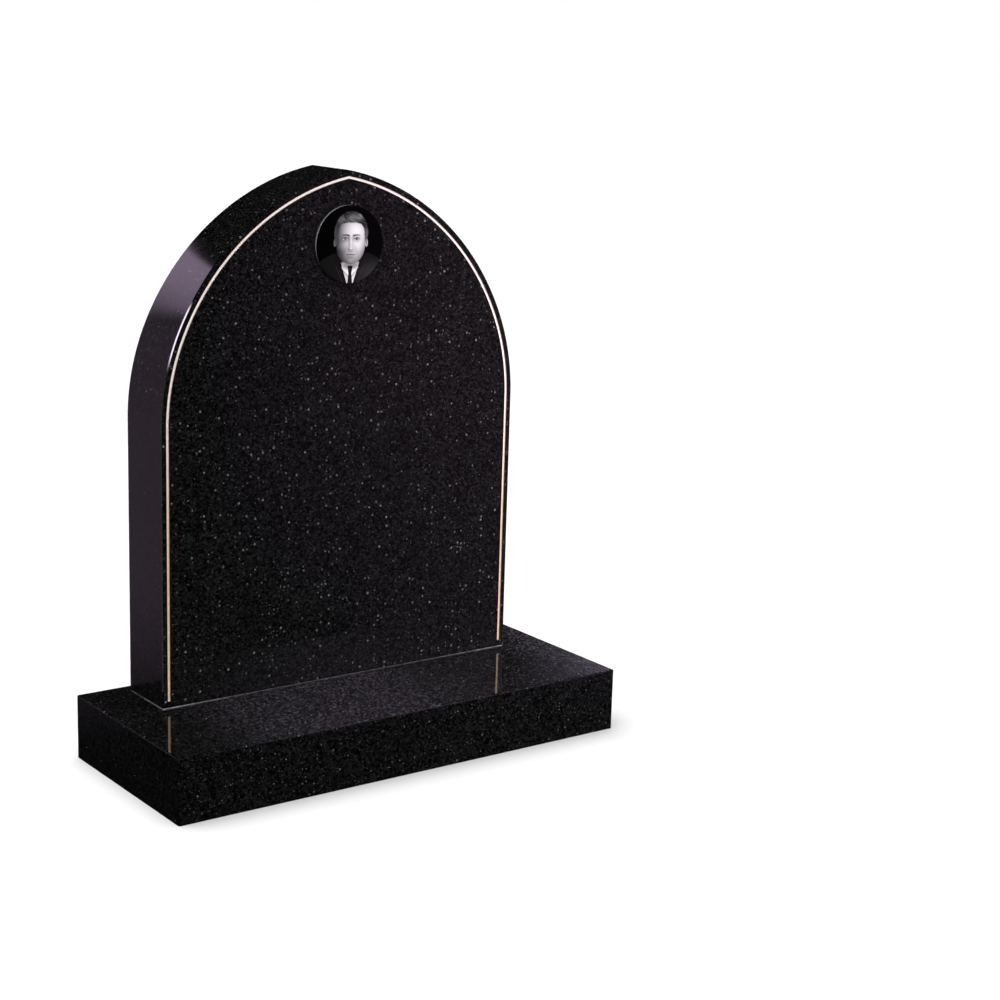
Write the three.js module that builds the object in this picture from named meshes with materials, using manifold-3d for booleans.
// A pointed-arch headstone of polished black granite on a low plinth, with a gilded pin line round its
// face and a round ceramic portrait plaque. Millimetres, +Z up, +X along the front, front towards -Y.
// The origin is the middle of the plinth's underside.

import * as THREE from 'three';
import { mergeVertices } from 'three/addons/utils/BufferGeometryUtils.js';
import Module from 'manifold-3d';

const wasm = await Module();
wasm.setup();

// Tablet: straight sides up to the shoulders, then a pointed arch of two arcs a side
const TABLET_WIDTH = 612;
const TABLET_THICKNESS = 104;
const SHOULDER_HEIGHT = 409;
const ARCH_RISE = 356;
const LOWER_ARC_RADIUS = 340;
const LOWER_ARC_ANGLE = THREE.MathUtils.degToRad(24.3);
const TABLET_ARRIS = 1.5;
const ARC_STEP = THREE.MathUtils.degToRad(2);

// Plinth: how far it stands out round the tablet's foot, and its height
const SIDE_LEDGE = 75;
const FRONT_LEDGE = 191;
const BACK_LEDGE = 23;
const PLINTH_HEIGHT = 97;
const PLINTH_ARRIS = 2;

// Setting bed between plinth and tablet, raked back a little from the tablet's faces
const BED_THICKNESS = 2;
const BED_SET_BACK = 1;

// Gilded pin line: a shallow groove that follows the sides and the arch
const LINE_INSET = 10.5;
const LINE_WIDTH = 4.5;
const LINE_DEPTH = 1.2;
const LINE_FOOT_HEIGHT = 9;

// Portrait plaque, glued to the face
const PLAQUE_DIAMETER = 114;
const PLAQUE_THICKNESS = 5;
const PLAQUE_DOME = 0.8;
const PLAQUE_EDGE_RADIUS = 1.2;
const PLAQUE_BELOW_APEX = 107;
const PLAQUE_STEPS = 96;
const PLAQUE_EDGE_STEPS = 4;
const PLAQUE_DOME_STEPS = 4;

// Touching pieces stay this far apart
const CLEARANCE = 0.3;

const plinthWidth = TABLET_WIDTH + 2 * SIDE_LEDGE;
const plinthDepth = FRONT_LEDGE + TABLET_THICKNESS + BACK_LEDGE;
const bedUnderside = PLINTH_HEIGHT + CLEARANCE;
const tabletFoot = bedUnderside + BED_THICKNESS + CLEARANCE;
const tabletFace = FRONT_LEDGE - plinthDepth / 2;
const tabletBack = tabletFace + TABLET_THICKNESS;
const apexHeight = SHOULDER_HEIGHT + ARCH_RISE;

const blackGranite = new THREE.MeshStandardMaterial({ color: 0x17151a, roughness: 0.08, metalness: 0 });
const jointMortar = new THREE.MeshStandardMaterial({ color: 0x9a968f, roughness: 0.9, metalness: 0 });
const glazedPortrait = new THREE.MeshStandardMaterial({ color: 0x1c1c1c, roughness: 0.12, metalness: 0 });

function toManifold(geometry) {
  const bare = geometry.clone();
  bare.deleteAttribute('normal');
  bare.deleteAttribute('uv');
  const merged = mergeVertices(bare, 1e-4);
  const mesh = new wasm.Mesh({
    numProp: 3,
    vertProperties: new Float32Array(merged.attributes.position.array),
    triVerts: new Uint32Array(merged.index.array),
  });
  return new wasm.Manifold(mesh);
}

function toGeometry(manifold) {
  const mesh = manifold.getMesh();
  const geometry = new THREE.BufferGeometry();
  geometry.setAttribute('position', new THREE.BufferAttribute(new Float32Array(mesh.vertProperties), 3));
  geometry.setIndex(new THREE.BufferAttribute(new Uint32Array(mesh.triVerts), 1));
  geometry.computeVertexNormals();
  return geometry;
}

function namedMesh(name, geometry, material) {
  const mesh = new THREE.Mesh(geometry, material);
  mesh.name = name;
  return mesh;
}

// The arch's right half from shoulder to apex, all of it set in by `inset`. Heights are above the foot.
// The lower arc leaves the side upright; the upper arc goes on from it smoothly and ends at the apex.
function archHalf(inset) {
  const lowerCentre = new THREE.Vector2(TABLET_WIDTH / 2 - LOWER_ARC_RADIUS, SHOULDER_HEIGHT);
  const outward = new THREE.Vector2(Math.cos(LOWER_ARC_ANGLE), Math.sin(LOWER_ARC_ANGLE));
  const joint = lowerCentre.clone().addScaledVector(outward, LOWER_ARC_RADIUS);
  const fromApex = joint.clone().sub(new THREE.Vector2(0, apexHeight));
  const upperRadius = fromApex.lengthSq() / (2 * outward.dot(fromApex));
  const upperCentre = joint.clone().addScaledVector(outward, -upperRadius);
  const apexAngle = Math.acos(-upperCentre.x / (upperRadius - inset));
  const lower = arcPoints(lowerCentre, LOWER_ARC_RADIUS - inset, 0, LOWER_ARC_ANGLE);
  const upper = arcPoints(upperCentre, upperRadius - inset, LOWER_ARC_ANGLE, apexAngle);
  const points = [...lower, ...upper.slice(1)];
  points[points.length - 1].x = 0;
  return points;
}

function arcPoints(centre, radius, start, end) {
  const steps = Math.max(1, Math.ceil((end - start) / ARC_STEP));
  const points = [];
  for (let step = 0; step <= steps; step += 1) {
    const angle = start + ((end - start) * step) / steps;
    points.push(new THREE.Vector2(centre.x + radius * Math.cos(angle), centre.y + radius * Math.sin(angle)));
  }
  return points;
}

// The tablet's outline set in by `inset`, from its right foot over the apex to its left foot
function tabletOutline(inset, footHeight) {
  const right = archHalf(inset);
  const left = right.slice(0, -1).reverse().map((point) => new THREE.Vector2(-point.x, point.y));
  const side = TABLET_WIDTH / 2 - inset;
  return [new THREE.Vector2(side, footHeight), ...right, ...left, new THREE.Vector2(-side, footHeight)];
}

// An outline in X and Z, with a small arris round both its faces, from `front` to `back` along Y
function slabAcross(outline, front, back, arris) {
  const geometry = new THREE.ExtrudeGeometry(new THREE.Shape(outline), {
    depth: back - front - 2 * arris,
    bevelEnabled: arris > 0,
    bevelSize: arris,
    bevelThickness: arris,
    bevelOffset: -arris,
    bevelSegments: 1,
    steps: 1,
  });
  geometry.rotateX(Math.PI / 2);
  geometry.translate(0, back - arris, 0);
  return geometry;
}

function boxBetween(low, high) {
  const size = new THREE.Vector3().subVectors(high, low);
  const geometry = new THREE.BoxGeometry(size.x, size.y, size.z);
  const middle = new THREE.Vector3().addVectors(low, high).multiplyScalar(0.5);
  geometry.translate(middle.x, middle.y, middle.z);
  return geometry;
}

// The plinth's upright and top edges have an arris; its underside is sawn square
function makePlinth() {
  const halfWidth = plinthWidth / 2;
  const halfDepth = plinthDepth / 2;
  const plan = new THREE.Shape([
    new THREE.Vector2(halfWidth, PLINTH_ARRIS - halfDepth),
    new THREE.Vector2(halfWidth, halfDepth - PLINTH_ARRIS),
    new THREE.Vector2(halfWidth - PLINTH_ARRIS, halfDepth),
    new THREE.Vector2(PLINTH_ARRIS - halfWidth, halfDepth),
    new THREE.Vector2(-halfWidth, halfDepth - PLINTH_ARRIS),
    new THREE.Vector2(-halfWidth, PLINTH_ARRIS - halfDepth),
    new THREE.Vector2(PLINTH_ARRIS - halfWidth, -halfDepth),
    new THREE.Vector2(halfWidth - PLINTH_ARRIS, -halfDepth),
  ]);
  const block = new THREE.ExtrudeGeometry(plan, {
    depth: PLINTH_HEIGHT - PLINTH_ARRIS,
    bevelEnabled: true,
    bevelSize: PLINTH_ARRIS,
    bevelThickness: PLINTH_ARRIS,
    bevelOffset: -PLINTH_ARRIS,
    bevelSegments: 1,
    steps: 1,
  });
  const below = boxBetween(
    new THREE.Vector3(-plinthWidth, -plinthDepth, -2 * PLINTH_ARRIS),
    new THREE.Vector3(plinthWidth, plinthDepth, 0),
  );
  return toGeometry(toManifold(block).subtract(toManifold(below)));
}

function makeSettingBed() {
  const halfWidth = TABLET_WIDTH / 2 - BED_SET_BACK;
  return boxBetween(
    new THREE.Vector3(-halfWidth, tabletFace + BED_SET_BACK, bedUnderside),
    new THREE.Vector3(halfWidth, tabletBack - BED_SET_BACK, bedUnderside + BED_THICKNESS),
  );
}

// The groove for the gilding: a band between two outlines, open at its foot
function pinLineBand() {
  const outer = tabletOutline(LINE_INSET - LINE_WIDTH / 2, LINE_FOOT_HEIGHT);
  const inner = tabletOutline(LINE_INSET + LINE_WIDTH / 2, LINE_FOOT_HEIGHT);
  return slabAcross([...outer, ...inner.reverse()], tabletFace - LINE_DEPTH, tabletFace + LINE_DEPTH, 0);
}

// The tablet's foot is sawn square, so its outline runs on below the foot and is cut off there
function makeTablet() {
  const cutDepth = 2 * TABLET_ARRIS + 1;
  const outline = tabletOutline(0, -cutDepth);
  const slab = slabAcross(outline, tabletFace, tabletBack, TABLET_ARRIS);
  const below = boxBetween(
    new THREE.Vector3(-TABLET_WIDTH, tabletFace - TABLET_THICKNESS, -2 * cutDepth),
    new THREE.Vector3(TABLET_WIDTH, tabletBack + TABLET_THICKNESS, 0),
  );
  const squared = toManifold(slab).subtract(toManifold(below));
  return toGeometry(squared.subtract(toManifold(pinLineBand())));
}

// A flat-backed disc with a rounded rim and a slight dome, turned about its own axis
function makePlaque() {
  const radius = PLAQUE_DIAMETER / 2;
  const rimRadius = radius - PLAQUE_EDGE_RADIUS;
  const shoulder = PLAQUE_THICKNESS - PLAQUE_DOME;
  const profile = [new THREE.Vector2(0, 0), new THREE.Vector2(radius, 0)];
  for (let step = 0; step <= PLAQUE_EDGE_STEPS; step += 1) {
    const angle = (Math.PI / 2) * (step / PLAQUE_EDGE_STEPS);
    const out = rimRadius + PLAQUE_EDGE_RADIUS * Math.cos(angle);
    const up = shoulder - PLAQUE_EDGE_RADIUS + PLAQUE_EDGE_RADIUS * Math.sin(angle);
    profile.push(new THREE.Vector2(out, up));
  }
  for (let step = PLAQUE_DOME_STEPS - 1; step >= 0; step -= 1) {
    const share = step / PLAQUE_DOME_STEPS;
    profile.push(new THREE.Vector2(rimRadius * share, shoulder + PLAQUE_DOME * (1 - share * share)));
  }
  return new THREE.LatheGeometry(profile, PLAQUE_STEPS);
}

const headstone = new THREE.Group();

headstone.add(namedMesh('plinth', makePlinth(), blackGranite));
headstone.add(namedMesh('setting_bed', makeSettingBed(), jointMortar));

const tablet = namedMesh('tablet', makeTablet(), blackGranite);
tablet.position.z = tabletFoot;
headstone.add(tablet);

const plaque = namedMesh('portrait_plaque', makePlaque(), glazedPortrait);
plaque.rotation.x = Math.PI;
plaque.position.set(0, tabletFace - CLEARANCE, tabletFoot + apexHeight - PLAQUE_BELOW_APEX);
headstone.add(plaque);

export default headstone;
